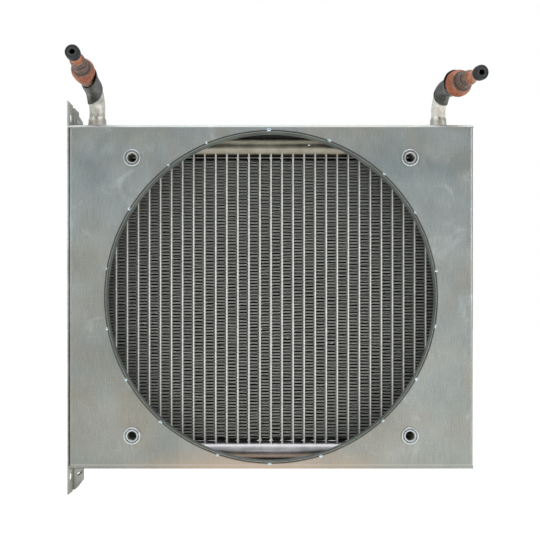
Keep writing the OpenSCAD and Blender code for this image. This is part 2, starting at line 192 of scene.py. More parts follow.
def capped_faces(rings, sides, first):
    """Quads between rings of vertices in a row, and a cap on each end."""
    faces = []
    for i in range(rings - 1):
        here = first + i * sides
        for k in range(sides):
            next_k = (k + 1) % sides
            faces.append((here + k, here + next_k, here + sides + next_k, here + sides + k))
    faces.append(tuple(first + k for k in reversed(range(sides))))
    faces.append(tuple(first + (rings - 1) * sides + k for k in range(sides)))
    return faces


def fillet(points, radius, segments=4):
    """Rounds each corner of a closed outline of (along, radial) points."""
    rounded = []
    for i, corner in enumerate(points):
        corner = Vector(corner)
        before = Vector(points[i - 1]) - corner
        after = Vector(points[(i + 1) % len(points)]) - corner
        reach = min(radius, before.length * 0.45, after.length * 0.45)
        start = corner + before.normalized() * reach
        end = corner + after.normalized() * reach
        for k in range(segments + 1):
            t = k / segments
            rounded.append(start * (1 - t) ** 2 + corner * 2 * t * (1 - t) + end * t * t)
    return rounded


def densify(points, step):
    """Splits the long stretches of a closed outline."""
    dense = []
    for i, point in enumerate(points):
        after = points[(i + 1) % len(points)]
        count = max(1, round((after - point).length / step))
        dense += [point.lerp(after, k / count) for k in range(count)]
    return dense


def smooth_outline(corners, radius, step, segments=4):
    """A closed outline with rounded corners and short stretches."""
    return densify(fillet(corners, radius, segments), step)


def value_noise(x, y, z, scale, seed=0):
    """Smooth noise between about -1 and 1; each seed is a place far along X."""
    apart = 13.7
    return noise.noise(Vector((x / scale + seed * apart, y / scale, z / scale)))


# ---- the connections


class Connection:
    """The centre line of one pipe: up from its socket, round the bend and out along its stub."""

    def __init__(self, side):
        self.side = side
        self.sizes = FITTINGS[side]
        low, high = box(side + "_socket")
        header_low, header_high = box("top_header")
        mount = MOUNTS[side + "_stub"]
        out = Vector(mount["axis"]).normalized()
        seat = Vector(mount["pos_m"])
        foot = Vector(((low.x + high.x) / 2, (header_low.y + header_high.y) / 2))
        back = (seat.xy - foot).length / out.xy.length
        self.corner = seat - out * back
        self.angle = math.acos(out.z)
        tangent = BEND_RADIUS * math.tan(self.angle / 2)
        self.straight = back - self.sizes["mount_at"] - tangent
        self.arc = BEND_RADIUS * self.angle
        self.bend_start_z = self.corner.z - tangent
        self.heading = Vector((out.x, out.y, 0)).normalized()
        self.across = UP.cross(self.heading)
        self.foot_z = box(side + "_pipe")[0].z

    @property
    def foot(self):
        """Where the vertical leg's foot is, as a distance from the sleeve's mouth."""
        return -self.straight - self.arc - (self.bend_start_z - self.foot_z)

    def at(self, along):
        """Position and direction of the centre line at a distance from the sleeve's mouth."""
        past_bend = along + self.straight
        if past_bend >= 0:
            turn = self.angle
            run = past_bend
        else:
            turn = max(0, (past_bend + self.arc) / BEND_RADIUS)
            run = min(0, past_bend + self.arc)
        direction = UP * math.cos(turn) + self.heading * math.sin(turn)
        position = Vector((self.corner.x, self.corner.y, self.bend_start_z))
        position += self.heading * BEND_RADIUS * (1 - math.cos(turn)) + UP * BEND_RADIUS * math.sin(turn)
        return position + direction * run, direction


def swept_piece(name, line, outline, material, node, shape, body=BODY, sides=SIDES, origin=0):
    """Sweeps a closed outline of (along, radial) points round a connection's centre line.

    The names of the piece and of the CAD node that it stands for leave out the side. Angle 0 is
    across the pipe towards +X, and a quarter turn is the inside of the bend. Each point keeps its
    place from origin and its radius, in millimetres, for the material."""
    verts = []
    places = []
    radii = []
    for along, radial in outline:
        for k in range(sides):
            angle = 2 * math.pi * k / sides
            place, r = shape(along, angle, radial)
            centre, direction = line.at(place)
            normal = line.across.cross(direction)
            verts.append(centre + line.across * math.cos(angle) * r + normal * math.sin(angle) * r)
            places.append((along - origin) / MM)
            radii.append(radial / MM)
    replaced = [line.side + "_" + node] if node else []
    faces = loop_faces(len(outline), sides)
    piece = add_piece(line.side + "_" + name, verts, faces, material, replaced, body)
    for attribute_name, values in (("along", places), ("radial", radii)):
        attribute = piece.data.attributes.new(attribute_name, "FLOAT", "POINT")
        attribute.data.foreach_set("value", values)
    return piece


def surface_noise(along, angle, radial, scale, seed):
    """Smooth noise over a swept surface."""
    return value_noise(along, math.cos(angle) * radial, math.sin(angle) * radial, scale, seed)


def lumpy(from_radius, depth, scale, seed):
    """A shape for a bead of filler: lumps round it, outside a radius."""
    def shape(along, angle, radial):
        if radial < from_radius:
            return along, radial
        return along, radial + depth * value_noise(along, math.cos(angle), math.sin(angle), scale, seed)

    return shape


def build_pipe(line, material):
    """Drawn pipe, pressed a little oval in its bend and dimpled by handling."""
    outer = line.sizes["pipe"]
    inner = outer - PIPE_WALL
    corners = [(line.foot, inner), (line.foot, outer), (PIPE_END, outer), (PIPE_END, inner)]
    outline = smooth_outline(corners, 0.3 * MM, 1 * MM)
    bend_from = -line.straight - line.arc
    bend_to = -line.straight

    def shape(along, angle, radial):
        in_bend = 0
        if bend_from < along < bend_to:
            in_bend = math.sin(math.pi * (along - bend_from) / (bend_to - bend_from))
        oval = 0.03 * radial * in_bend * math.cos(2 * angle)
        dents = 0.07 * MM * surface_noise(along, angle, radial, 6 * MM, 1)
        return along, radial + oval + dents

    swept_piece("drawn_pipe", line, outline, material, "pipe", shape)


def build_sleeve(line, material):
    """Heat-shrink: cut on a slant, wrinkled where it bends, and gaping unevenly at its mouth."""
    sizes = line.sizes
    inner = sizes["pipe"] + 0.1 * MM
    outer = inner + 1 * MM
    flare = sizes["flare"]
    flare_start = -sizes["flare_length"]
    start = -line.straight - line.arc + BEND_RADIUS * math.radians(sizes["sleeve_turn"])
    start = min(start, flare_start - 2 * MM)
    opened = -2.5 * MM
    corners = [
        (start, inner), (start, outer), (flare_start, outer), (opened, outer + 0.7 * flare),
        (0, outer + flare), (0, inner + flare), (opened, inner + 0.7 * flare), (flare_start, inner)]
    outline = smooth_outline(corners, 0.5 * MM, 0.6 * MM)
    bare_side = math.radians(sizes["bare_side"])
    gape_side = math.radians(sizes["gape_side"])

    def shape(along, angle, radial):
        near_mouth = min(1, max(0, 1 + along / (9 * MM)))
        near_cut = min(1, max(0, along / start))
        place = along + near_cut * sizes["cut_slant"] * math.cos(angle - bare_side)
        place += near_mouth * (sizes["mouth_ahead"] + sizes["mouth_slant"] * math.cos(angle - gape_side))
        place += near_mouth * 0.7 * MM * surface_noise(0, angle, radial, 8 * MM, 3)
        slack = surface_noise(along, angle, radial, 9 * MM, len(line.side))
        folds = abs(surface_noise(along * 0.35, angle, radial, 3.2 * MM, 5))
        if radial < outer - 0.4 * MM and near_mouth == 0:
            return place, radial
        gape = near_mouth ** 2 * sizes["gape"] * math.cos(angle - gape_side)
        return place, radial + gape + 0.16 * MM * folds + 0.16 * MM * slack * (1 + near_mouth)

    swept_piece("sleeve", line, outline, material, "shrink_sleeve", shape, sides=64)


def build_adapter(line, bore, material):
    """Spun copper: spigot, bulb and two stepped rings, softened by the torch."""
    sizes = line.sizes
    spigot = sizes["pipe"] - PIPE_WALL - 0.08 * MM
    wall = 0.9 * MM
    back = sizes["set_back"]
    spigot_start = SPIGOT_START + back
    neck = NECK_START + back
    copper = [(place * MM, radius * MM) for radius, place in sizes["copper"]]
    corners = [(spigot_start, spigot), (neck, spigot)] + copper + [
        (RING_A_START, RING_A + 0.1 * MM), (GROOVE - 1 * MM, RING_A), (GROOVE - 0.3 * MM, RING_B - 0.5 * MM),
        (GROOVE + 0.8 * MM, RING_B - 0.5 * MM), (GROOVE + 1.5 * MM, RING_B + 0.1 * MM),
        (RING_B_END, RING_B - 0.1 * MM), (RING_B_END, bore), (GROOVE + 1 * MM, bore),
        (GROOVE - wall, RING_A - wall)]
    corners += [(place, radius - wall) for place, radius in reversed(copper)]
    corners += [(neck, spigot - wall), (spigot_start, spigot - wall)]
    outline = smooth_outline([(along - back, r) for along, r in corners], 0.9 * MM, 0.6 * MM, 5)
    lean_side = math.radians(sizes["lean_side"])
    leans_from = 0
    leans_to = 20 * MM

    def shape(along, angle, radial):
        exposed = 1 if -2 * MM < along < RING_B_END - back - 0.4 * MM and radial > bore + 0.6 * MM else 0
        pits = surface_noise(along, angle, radial, 1.3 * MM, 9)
        hand_spun = surface_noise(along, angle, radial, 7 * MM, 4)
        leaning = 0
        if leans_from < along < leans_to:
            leaning = math.sin(math.pi * (along - leans_from) / (leans_to - leans_from))
        radial += leaning * sizes["lean"] * math.cos(angle - lean_side)
        return along, radial + exposed * (0.05 * MM * pits + 0.12 * MM * hand_spun)

    swept_piece(
        "adapter", line, outline, material, "copper_adapter", shape, sides=72, origin=-back)


def build_stub(line, stub_r, material):
    """The plain copper end, sized down where it goes into the adapter and the cap."""
    back = line.sizes["set_back"]
    start = RING_B_END - back - 5 * MM
    lead = stub_r - 0.25 * MM
    inner = lead - 0.55 * MM
    bare_start = RING_B_END - back + 0.1 * MM
    cap_start = CAP_START - line.sizes["end_back"]
    end = STUB_END - line.sizes["end_back"]
    corners = [
        (start, inner), (start, lead), (bare_start, lead), (bare_start + 0.1 * MM, stub_r),
        (cap_start - 0.2 * MM, stub_r), (cap_start - 0.1 * MM, lead), (end, lead), (end, inner)]
    outline = smooth_outline(corners, 0.1 * MM, 1 * MM)

    def shape(along, angle, radial):
        bare = bare_start < along < cap_start - 0.5 * MM and radial > lead
        return along, radial + (0.05 * MM * surface_noise(along, angle, radial, 3 * MM, 6) if bare else 0)

    swept_piece("stub", line, outline, material, "copper_stub", shape, origin=-back)


def build_braze(line, stub_r, material):
    """The uneven bead of braze round the stub."""
    foot = RING_B_END - line.sizes["set_back"] + 0.05 * MM
    corners = [
        (foot, stub_r + 0.06 * MM), (foot, stub_r + 1.2 * MM),
        (foot + 1.1 * MM, stub_r + 0.7 * MM), (foot + 2.2 * MM, stub_r + 0.06 * MM)]
    outline = smooth_outline(corners, 0.5 * MM, 0.3 * MM)
    shape = lumpy(stub_r + 0.2 * MM, 0.2 * MM, 0.5, 2)
    swept_piece("braze", line, outline, material, "braze_ring", shape)


def build_cap(line, stub_r, material):
    """Rubber cap: a soft cup with a rounded rim, and a dished end with a moulding hole."""
    outer = CAP_RADIUS
    bore = stub_r - 0.2 * MM
    hole = 2.1 * MM
    start = CAP_START - line.sizes["end_back"]
    end = CAP_END - line.sizes["end_back"]
    seat = STUB_END - line.sizes["end_back"] + 0.1 * MM
    rim = [
        (start, bore), (start, outer - 0.5 * MM), (start + 1 * MM, outer - 0.05 * MM),
        (start + 3 * MM, outer)]
    dished_end = [
        (end - 1.3 * MM, outer), (end, outer - 0.9 * MM), (end, outer - 1.3 * MM),
        (end - 0.9 * MM, outer - 1.8 * MM), (end - 0.9 * MM, outer - 2.2 * MM),
        (end - 0.3 * MM, outer - 2.7 * MM), (end - 0.5 * MM, hole + 0.8 * MM)]
    inside = [(end - 1.1 * MM, hole), (seat, hole), (seat, bore)]
    outline = smooth_outline(rim + dished_end + inside, 0.5 * MM, 0.35 * MM)

    def shape(along, angle, radial):
        if radial < bore + 0.4 * MM:
            return along, radial
        return along, radial + 0.05 * MM * surface_noise(along, angle, radial, 6 * MM, 8)

    body = line.side + "_cap_body"
    swept_piece("rubber_cap", line, outline, material, "cap", shape, body, sides=64)


def build_socket_braze(line, material):
    """The fillet of filler between a socket's rim and its pipe."""
    outer = line.sizes["pipe"]
    rim = box(line.side + "_socket")[1].z - line.foot_z + line.foot
    corners = [
        (rim + 0.03 * MM, outer + 0.12 * MM), (rim + 0.03 * MM, outer + 0.8 * MM),
        (rim + 0.5 * MM, outer + 0.5 * MM), (rim + 1.4 * MM, outer + 0.12 * MM)]
    outline = smooth_outline(corners, 0.3 * MM, 0.3 * MM)
    shape = lumpy(outer + 0.2 * MM, 0.22 * MM, 0.45, len(line.side))
    swept_piece("socket_braze", line, outline, material, None, shape)


# ---- the core


def strip_count():
    low, high = box("fin_strips")
    return round((high.x - low.x) / TUBE_PITCH)


def strip_centre(strip):
    low, high = box("fin_strips")
    return (low.x + high.x) / 2 + (strip - (strip_count() - 1) / 2) * TUBE_PITCH


@functools.lru_cache(maxsize=None)
def leg_heights(strip):
    """Heights of one strip's legs, a little uneven because the strip springs when it is packed."""
    bottom = box("bottom_header")[1].z + HEADER_CLEARANCE
    top = box("fin_strips")[1].z + LAST_LEG_RISE
    chance = random.Random(SEED + strip)
    count = round((top - bottom) / LEG_SPACING)
    steps = []
    stretch = 1
    for i in range(count):
        stretch += 0.35 * (1 - stretch) + chance.gauss(0, 0.05)
        pairing = 2 * PAIR_SHIFT / LEG_SPACING * (1 if i % 2 == 0 else -1)
        steps.append(max(0.5, stretch + pairing))
    scale = (top - bottom) / sum(steps)
    heights = [bottom]
    for step in steps:
        heights.append(heights[-1] + step * scale)
    return heights


def strip_path(strip, heights):
    """Centre line of a folded strip in X and Z: sloping legs that sag a little, and round turns."""
    half = (TUBE_PITCH - (tube_thickness() + 2 * FIN_CLEARANCE)) / 2 - FIN_THICKNESS / 2
    turn = LEG_SPACING * 0.4
    centre = strip_centre(strip)
    chance = random.Random(SEED * 3 + strip)
    path = []
    for i, z in enumerate(heights):
        way = 1 if i % 2 == 0 else -1
        sag = chance.gauss(0, 0.13) * MM
        slope = LEG_SLOPE + chance.gauss(0, 0.06) * MM
        reach = half if i == 0 else half - turn
        path.append((centre - way * reach, z - slope))
        path.append((centre, z + sag))
        path.append((centre + way * (half - turn), z + slope))
        if i + 1 < len(heights):
            path.append((centre + way * half, (z + heights[i + 1]) / 2))
    return path


def tube_thickness():
    low, high = box("inlet_pass_tubes")
    count = round((high.x - low.x) / TUBE_PITCH)
    return high.x - low.x - count * TUBE_PITCH


def add_ribbon(verts, faces, path, columns_at):
    """A ribbon of sheet: path runs in X and Z, columns_at(z) gives (y, lift) across its depth."""
    first = len(verts)
    count = len(columns_at(path[0][1]))
    for i, (x, z) in enumerate(path):
        before = path[max(0, i - 1)]
        after = path[min(len(path) - 1, i + 1)]
        along = Vector((after[0] - before[0], after[1] - before[1])).normalized()
        off = Vector((-along.y, along.x)) * FIN_THICKNESS / 2
        for y, lift in columns_at(z):
            verts.append((x + off.x, y, z + off.y + lift))
            verts.append((x - off.x, y, z - off.y + lift))

    def at(i, c, side):
        return first + (i * count + c) * 2 + side

    for i in range(len(path) - 1):
        for c in range(count - 1):
            faces.append((at(i, c, 0), at(i + 1, c, 0), at(i + 1, c + 1, 0), at(i, c + 1, 0)))
            faces.append((at(i, c, 1), at(i, c + 1, 1), at(i + 1, c + 1, 1), at(i + 1, c, 1)))
        faces.append((at(i, 0, 0), at(i, 0, 1), at(i + 1, 0, 1), at(i + 1, 0, 0)))
        last = count - 1
        faces.append((at(i, last, 0), at(i + 1, last, 0), at(i + 1, last, 1), at(i, last, 1)))
    for i in (0, len(path) - 1):
        for c in range(count - 1):
            faces.append((at(i, c, 0), at(i, c + 1, 0), at(i, c + 1, 1), at(i, c, 1)))


def build_fins(material):
    """All the folded strips, waved through their depth, in two pieces.

    The legs by the headers were pushed back when the core was pressed together."""
    low, high = box("fin_strips")
    middle = (low.y + high.y) / 2
    ceiling = box("top_header")[0].z - HEADER_CLEARANCE

    def columns_at(z):
        by_header = z < low.z + BOTTOM_LEGS or z > high.z - TOP_LEGS
        front = low.y + END_RECESS if by_header else low.y
        return [(front, 0), (middle, min(FIN_WAVE, ceiling - z)), (high.y, 0)]

    half = strip_count() // 2
    for name, strips in (("fins_left", range(half)), ("fins_right", range(half, strip_count()))):
        verts = []
        faces = []
        for strip in strips:
            add_ribbon(verts, faces, strip_path(strip, leg_heights(strip)), columns_at)
        add_piece(name, verts, faces, material, ["fin_strips"])


def turn_heights(strip, right):
    """Heights of the turns of a strip that touch the tube on one side of it."""
    heights = leg_heights(strip)
    first = 0 if right else 1
    return [(heights[i] + heights[i + 1]) / 2 for i in range(first, len(heights) - 1, 2)]


def fillet_bulge(z, turns):
    """How far the braze stands out from the tube's side at height z."""
    spot = bisect.bisect(turns, z)
    near = [abs(z - turns[i]) for i in (spot - 1, spot) if 0 <= i < len(turns)]
    if not near:
        return 0
    return FILLET_HEIGHT * math.exp(-(min(near) / FILLET_REACH) ** 2)


def add_flat_tube(verts, faces, index, node):
    """One flat tube, with a round nose front and back and a braze fillet at each fin turn."""
    low, high = box(node)
    r = tube_thickness() / 2
    x = strip_centre(index) + TUBE_PITCH / 2
    left_turns = turn_heights(index, True)
    right_turns = turn_heights(index + 1, False)
    step = LEG_SPACING / 2
    rings = round((high.z - low.z) / step)
    nose = [math.radians(a) for a in (-90, -50, 0, 50, 90)]
    first = len(verts)
    for i in range(rings + 1):
        z = low.z + (high.z - low.z) * i / rings
        left = fillet_bulge(z, left_turns)
        right = fillet_bulge(z, right_turns)
        for end in (-1, 1):
            y = low.y + r if end < 0 else high.y - r
            for a in nose:
                across = math.sin(a) * -end
                bulge = left if across < 0 else right
                verts.append((x + across * (r + bulge), y + end * math.cos(a) * r, z))
    faces.extend(capped_faces(rings + 1, 2 * len(nose), first))


def build_tubes(material):
    done = 0
    for node in ("inlet_pass_tubes", "outlet_pass_tubes"):
        low, high = box(node)
        count = round((high.x - low.x) / TUBE_PITCH) + 1
        verts = []
        faces = []
        for index in range(done, done + count):
            add_flat_tube(verts, faces, index, node)
        add_piece(node + "_brazed", verts, faces, material, [node], sharp_angle=70)
        done += count


# ---- shroud hardware


def turned_verts(outline, origin, shape, sides):
    """Rings of a shape turned about a line along Y through origin; along 0 is at the origin's Y."""
    verts = []
    for along, radial in outline:
        for k in range(sides):
            angle = 2 * math.pi * k / sides
            a, r = shape(along, angle, radial)
            verts.append((origin[0] + math.sin(angle) * r, origin[1] + a, origin[2] + math.cos(angle) * r))
    return verts


def build_rivet_nuts(material):
    """Flanged rivet nuts: a flat flange, a countersunk mouth and an M8 thread."""
    low, high = box("fan_rivet_nuts")
    dims = MOUNTS["fan_bolts"]["dims"]
    bore = dims["hole_r_mm"] * MM
    flange_t = -low.y
    flange = (high.x - low.x - dims["spacing_x_mm"] * MM) / 2
    barrel = 5.5 * MM
    mouth = bore + 0.9 * MM
    thread_pitch = 1.25 * MM
    thread_depth = 0.5 * MM
    sides = 56
    turned = mouth + 1.5 * MM
    corners = [
        (-flange_t + 0.7 * MM, bore + 0.3 * MM), (-flange_t, mouth), (-flange_t, turned),
        (-flange_t + 0.2 * MM, turned + 0.2 * MM), (-flange_t, turned + 0.4 * MM),
        (-flange_t, flange - 0.5 * MM), (-flange_t * 0.55, flange), (0, flange), (0, barrel),
        (high.y, barrel), (high.y, bore + 0.2 * MM)]
    outline = smooth_outline(corners, 0.3 * MM, 0.25 * MM, 3)

    def shape(along, angle, radial):
        if radial < bore + 0.45 * MM and -flange_t + 0.9 * MM < along < high.y - 0.6 * MM:
            turn = (along / thread_pitch + angle / (2 * math.pi)) % 1
            return along, bore + thread_depth * (1 - abs(2 * turn - 1))
        pressed = value_noise(math.sin(angle) * radial, math.cos(angle) * radial, 0, 3 * MM, 3)
        return along + (0.05 * MM * pressed if along < -0.5 * flange_t else 0), radial

    verts = []
    faces = []
    for x in (-1, 1):
        for z in (-1, 1):
            origin = (x * dims["spacing_x_mm"] * MM / 2, 0, z * dims["spacing_y_mm"] * MM / 2)
            first = len(verts)
            verts += turned_verts(outline, origin, shape, sides)
            faces += loop_faces(len(outline), sides, first)
    add_piece("rivet_nuts", verts, faces, material, ["fan_rivet_nuts"])


def add_bead(verts, faces, centre, outward, length, width, proud, seed):
    """A lumpy closed bead with its long side round the ring."""
    rows = 9
    sides = 20
    along = Vector((-outward.z, 0, outward.x))
    first = len(verts)
    for row in range(1, rows):
        polar = math.pi * row / rows
        for k in range(sides):
            angle = 2 * math.pi * k / sides
            lump = 1 + 0.22 * value_noise(math.cos(angle), math.sin(angle), math.cos(polar), 0.7, seed)
            a = math.cos(angle) * math.sin(polar) * length * lump
            b = math.sin(angle) * math.sin(polar) * width * lump
            verts.append(centre + outward * b + along * a + Vector((0, -math.cos(polar) * proud, 0)))
    faces.extend(capped_faces(rows - 1, sides, first))


def build_tack_welds(material):
    """Small uneven beads that bridge the ring and the edge of the opening."""
    radius = box("fan_ring")[1].x + 0.8 * MM
    chance = random.Random(SEED)
    verts = []
    faces = []
    for i in range(TACK_WELDS):
        turn = 2 * math.pi * (i + 0.5) / TACK_WELDS + chance.uniform(-0.05, 0.05)
        outward = Vector((math.cos(turn), 0, math.sin(turn)))
        length = chance.uniform(0.9, 2.0) * MM
        width = chance.uniform(0.8, 1.2) * MM
        proud = chance.uniform(0.25, 0.45) * MM
        add_bead(verts, faces, outward * radius, outward, length, width, proud, i)
    add_piece("tack_welds", verts, faces, material, ["ring_tack_welds"])


def build_braze_blob(material):
    """A drop of filler that ran down the front of the top header."""
    low, high = box("top_header")
    centre = Vector((DROP_X, low.y + 0.6 * MM, (low.z + high.z) / 2 + DROP_ABOVE_AXIS))
    verts = []
    faces = []
    add_bead(verts, faces, centre, UP, 1.6 * MM, 1.2 * MM, 1 * MM, SEED)
    add_piece("braze_blob", verts, faces, material, [])


def soften_edges(width, *nodes):
    """Breaks the sharp edges of CAD pieces without changing their meshes."""
    for node in nodes:
        piece = frame["nodes"][node]
        weld = piece.modifiers.new("join corners", "WELD")
        weld.merge_threshold = 0.002 * MM
        bevel = piece.modifiers.new("broken edges", "BEVEL")
        bevel.width = width
        bevel.segments = 2
        bevel.limit_method = "ANGLE"
        bevel.angle_limit = math.radians(50)
        bevel.harden_normals = True


# ---- materials


def srgb(red, green, blue):
    """A display colour, 0 to 255 a channel, as the linear colour that a shader takes."""
    def linear(value):
        value /= 255
        return value / 12.92 if value <= 0.04045 else ((value + 0.055) / 1.055) ** 2.4
    return (linear(red), linear(green), linear(blue), 1)


class Nodes:
    """A small builder for the nodes of one tree."""

    def __init__(self, tree):
        self.tree = tree

    def plug(self, value, socket):
        if isinstance(value, bpy.types.NodeSocket):
            self.tree.links.new(value, socket)
        else:
            socket.default_value = value

    def node(self, kind, **inputs):
        """A new node; its inputs are values or outputs, named with _ for a space."""
        node = self.tree.nodes.new("ShaderNode" + kind)
        for name, value in inputs.items():
            self.plug(value, node.inputs[name.replace("_", " ")])
        return node

    def ramp(self, value, stops):
        """Colours by value; stops are (position, colour), and a bare number is a grey."""
        ramp = self.node("ValToRGB", Fac=value)
        elements = ramp.color_ramp.elements
        while len(elements) < len(stops):
            elements.new(0.5)
        for element, (position, colour) in zip(elements, stops):
            element.position = position
            element.color = colour if isinstance(colour, tuple) else (colour, colour, colour, 1)
        return ramp.outputs["Color"]

    def between(self, value, start, end):
        """0 at start to 1 at end of a value."""
        return self.node("MapRange", Value=value, From_Min=start, From_Max=end).outputs["Result"]


class Shader(Nodes):
    """The nodes of one new material, around a Principled BSDF."""

    def __init__(self, name, metallic=0.0):
        self.material = bpy.data.materials.new(name)
        self.material.use_nodes = True
        super().__init__(self.material.node_tree)
        self.bsdf = self.tree.nodes["Principled BSDF"]
        self.bsdf.inputs["Metallic"].default_value = metallic
        self.coordinates = self.node("TexCoord").outputs["Object"]
        self.normal = None

    def noise(self, scale, detail=3, rough=0.5, distortion=0, turn=(0, 0, 0)):
        """Noise with scale repeats per metre, or one scale for each axis."""
        scale = scale if isinstance(scale, tuple) else (scale,) * 3
        mapping = self.node("Mapping", Vector=self.coordinates, Scale=scale, Rotation=turn)
        texture = self.node(
            "TexNoise", Vector=mapping.outputs["Vector"], Scale=1, Detail=detail, Roughness=rough,
            Distortion=distortion)
        return texture.outputs["Fac"]

    def mix(self, share, first, second, blend="MIX"):
        node = self.node("Mix")
        node.data_type = "RGBA"
        node.blend_type = blend
        sockets = {socket.identifier: socket for socket in node.inputs}
        self.plug(share, sockets["Factor_Float"])
        self.plug(first, sockets["A_Color"])
        self.plug(second, sockets["B_Color"])
        return {socket.identifier: socket for socket in node.outputs}["Result_Color"]

    def two_tone(self, value, low_colour, high_colour, start=0.35, end=0.65):
        """One colour below start of a value and another above end."""
        return self.mix(self.ramp(value, [(start, 0), (end, 1)]), low_colour, high_colour)

    def overlay(self, share, body, value, low, high):
        """Body shaded by a value, from the grey low to the grey high."""
        return self.mix(share, body, self.ramp(value, [(0.3, low), (0.7, high)]), "OVERLAY")

    def stain_and_light(self, body, mask, share, colour):
        """Body with a share of another colour where the mask is 1; used for stains and for painted
        highlights and shade.
        """
        return self.mix(self.times(mask, share), body, colour)

    def math(self, operation, first, second=0.0):
        node = self.node("Math")
        node.operation = operation
        self.plug(first, node.inputs[0])
        self.plug(second, node.inputs[1])
        return node.outputs[0]

    def times(self, first, second):
        return self.math("MULTIPLY", first, second)

    def axis(self, name):
        """X, Y or Z in the object's own frame, in metres."""
        return self.node("SeparateXYZ", Vector=self.coordinates).outputs[name]

    def place(self, axis, start, end):
        """0 at start to 1 at end along an axis, in metres."""
        return self.between(self.axis(axis), start, end)

    def vector_math(self, operation, first, second=(0, 0, 0)):
        node = self.node("VectorMath")
        node.operation = operation
        self.plug(first, node.inputs[0])
        node.inputs[1].default_value = second
        return node

    def distance(self, centre, scale):
        """Distance from a point, in metres, with each axis scaled first."""
        offset = self.vector_math("SUBTRACT", self.coordinates, centre)
        scaled = self.vector_math("MULTIPLY", offset.outputs["Vector"], scale)
        return self.vector_math("LENGTH", scaled.outputs["Vector"]).outputs["Value"]

    def from_fan_axis(self):
        """Distance from the line through the opening's centre, in metres."""
        return self.distance((0, 0, 0), (1, 0, 1))

    def window(self, value, start, full_from, full_to, end):
        """1 from full_from to full_to of a value, and 0 before start and after end."""
        return self.times(self.between(value, start, full_from), self.between(value, end, full_to))

    def attribute(self, name):
        node = self.node("Attribute")
        node.attribute_name = name
        return node.outputs["Fac"]

    def colour(self, value):
        self.plug(value, self.bsdf.inputs["Base Color"])

    def roughness(self, value):
        self.plug(value, self.bsdf.inputs["Roughness"])

    def surface(self, colour, value, low, high):
        """Base colour, and a roughness that follows a value from low to high."""
        self.colour(colour)
        self.roughness(self.ramp(value, [(0.3, low), (0.7, high)]))

    def bump(self, height, depth):
        """Adds a bump of the given depth in metres."""
        node = self.node("Bump", Strength=1, Distance=depth, Height=height)
        if self.normal:
            self.plug(self.normal, node.inputs["Normal"])
        self.normal = node.outputs["Normal"]
        self.plug(self.normal, self.bsdf.inputs["Normal"])


def sheet_material(name, light, dark, rough, metallic=0.92):
    """Rolled sheet: fine grain along Z, clouds, smudges and a few scratches.

    It is darker towards the lower left as painted shade, warmer low down and in a spot below the opening as
    painted warm reflection, with painted highlights along its top bend and above its bottom fold, and with a
    painted gap shadow at the opening's edge."""
    shader = Shader(name, metallic=metallic)
    clouds = shader.noise(14, detail=4, rough=0.55)
    grain = shader.noise((1500, 1500, 90), detail=2)
    streaks = shader.noise((260, 260, 9), detail=3)
    smudges = shader.noise(38, detail=5, rough=0.6, distortion=0.6)
    scratches = shader.noise((60, 60, 900), detail=2, turn=(0.1, 0.7, 0.1))
    fleck = shader.noise(900, detail=3, rough=0.7)
    body = shader.two_tone(clouds, dark, light)
    tarnish = shader.ramp(shader.noise(17, detail=4, distortion=0.5), [(0.42, 0), (0.62, 0.55)])
    body = shader.mix(tarnish, body, srgb(168, 162, 150))
    pale = shader.ramp(shader.noise(31, detail=4, rough=0.6, distortion=0.9), [(0.6, 0), (0.72, 0.5)])
    body = shader.mix(pale, body, srgb(198, 206, 206))
    body = shader.overlay(0.09, body, streaks, 0.36, 0.62)
    body = shader.overlay(0.16, body, grain, 0.2, 0.8)
    body = shader.overlay(0.24, body, fleck, 0.2, 0.8)
    # Painted shade: darker towards the lower left.
    low_down = shader.place("Z", 0.08, -0.06)
    to_left = shader.place("X", 0.24, -0.12)
    lower_left_shade = shader.times(low_down, to_left)
    body = shader.mix(lower_left_shade, body, srgb(231, 231, 230), "MULTIPLY")
    # Painted warm reflection: warmer towards the bottom, and in a spot below the opening.
    warm = shader.times(shader.place("Z", 0.02, -0.15), 0.4)
    body = shader.mix(warm, body, srgb(236, 222, 196), "MULTIPLY")
    flattened = (0.8, 0, 2.4)
    warm_spot = shader.between(shader.distance((-0.01, 0, -0.168), flattened), 0.11, 0.02)
    body = shader.stain_and_light(body, warm_spot, 0.75, srgb(216, 184, 158))
    height = shader.axis("Z")
    low, high = box("shroud_panel")
    fold = low.z + 3.4 * MM
    # Painted highlight along the start of the bottom fold.
    bottom_fold_highlight = shader.window(height, fold, fold + 0.3 * MM, fold + 0.6 * MM, fold + 0.9 * MM)
    body = shader.stain_and_light(body, bottom_fold_highlight, 0.4, srgb(222, 214, 206))
    top = high.z
    # Painted highlight along the top bend.
    top_bend_highlight = shader.window(height, top - 2.8 * MM, top - 2.4 * MM, top - 0.9 * MM, top + 0.3 * MM)
    body = shader.stain_and_light(body, top_bend_highlight, 0.3, srgb(238, 240, 238))
    marks = shader.ramp(scratches, [(0.7, 0), (0.74, 1)])
    body = shader.stain_and_light(body, marks, 0.2, srgb(214, 218, 216))
    ring = box("fan_ring")[1].x
    # Painted shadow of the gap between the opening's edge and the ring.
    hole_edge_shadow = shader.between(shader.from_fan_axis(), ring + 0.9 * MM, ring + 0.6 * MM)
    body = shader.stain_and_light(body, hole_edge_shadow, 0.7, srgb(60, 54, 46))
    shader.colour(body)
    wear = shader.ramp(smudges, [(0.35, 0), (0.7, 1)])
    spread = shader.math("ADD", shader.times(wear, 0.14), rough)
    shader.roughness(shader.math("ADD", spread, shader.times(grain, 0.08)))
    shader.bump(shader.noise(9, detail=2), 0.4 * MM)
    shader.bump(fleck, 0.012 * MM)
    shader.bump(grain, 0.01 * MM)
    return shader.material


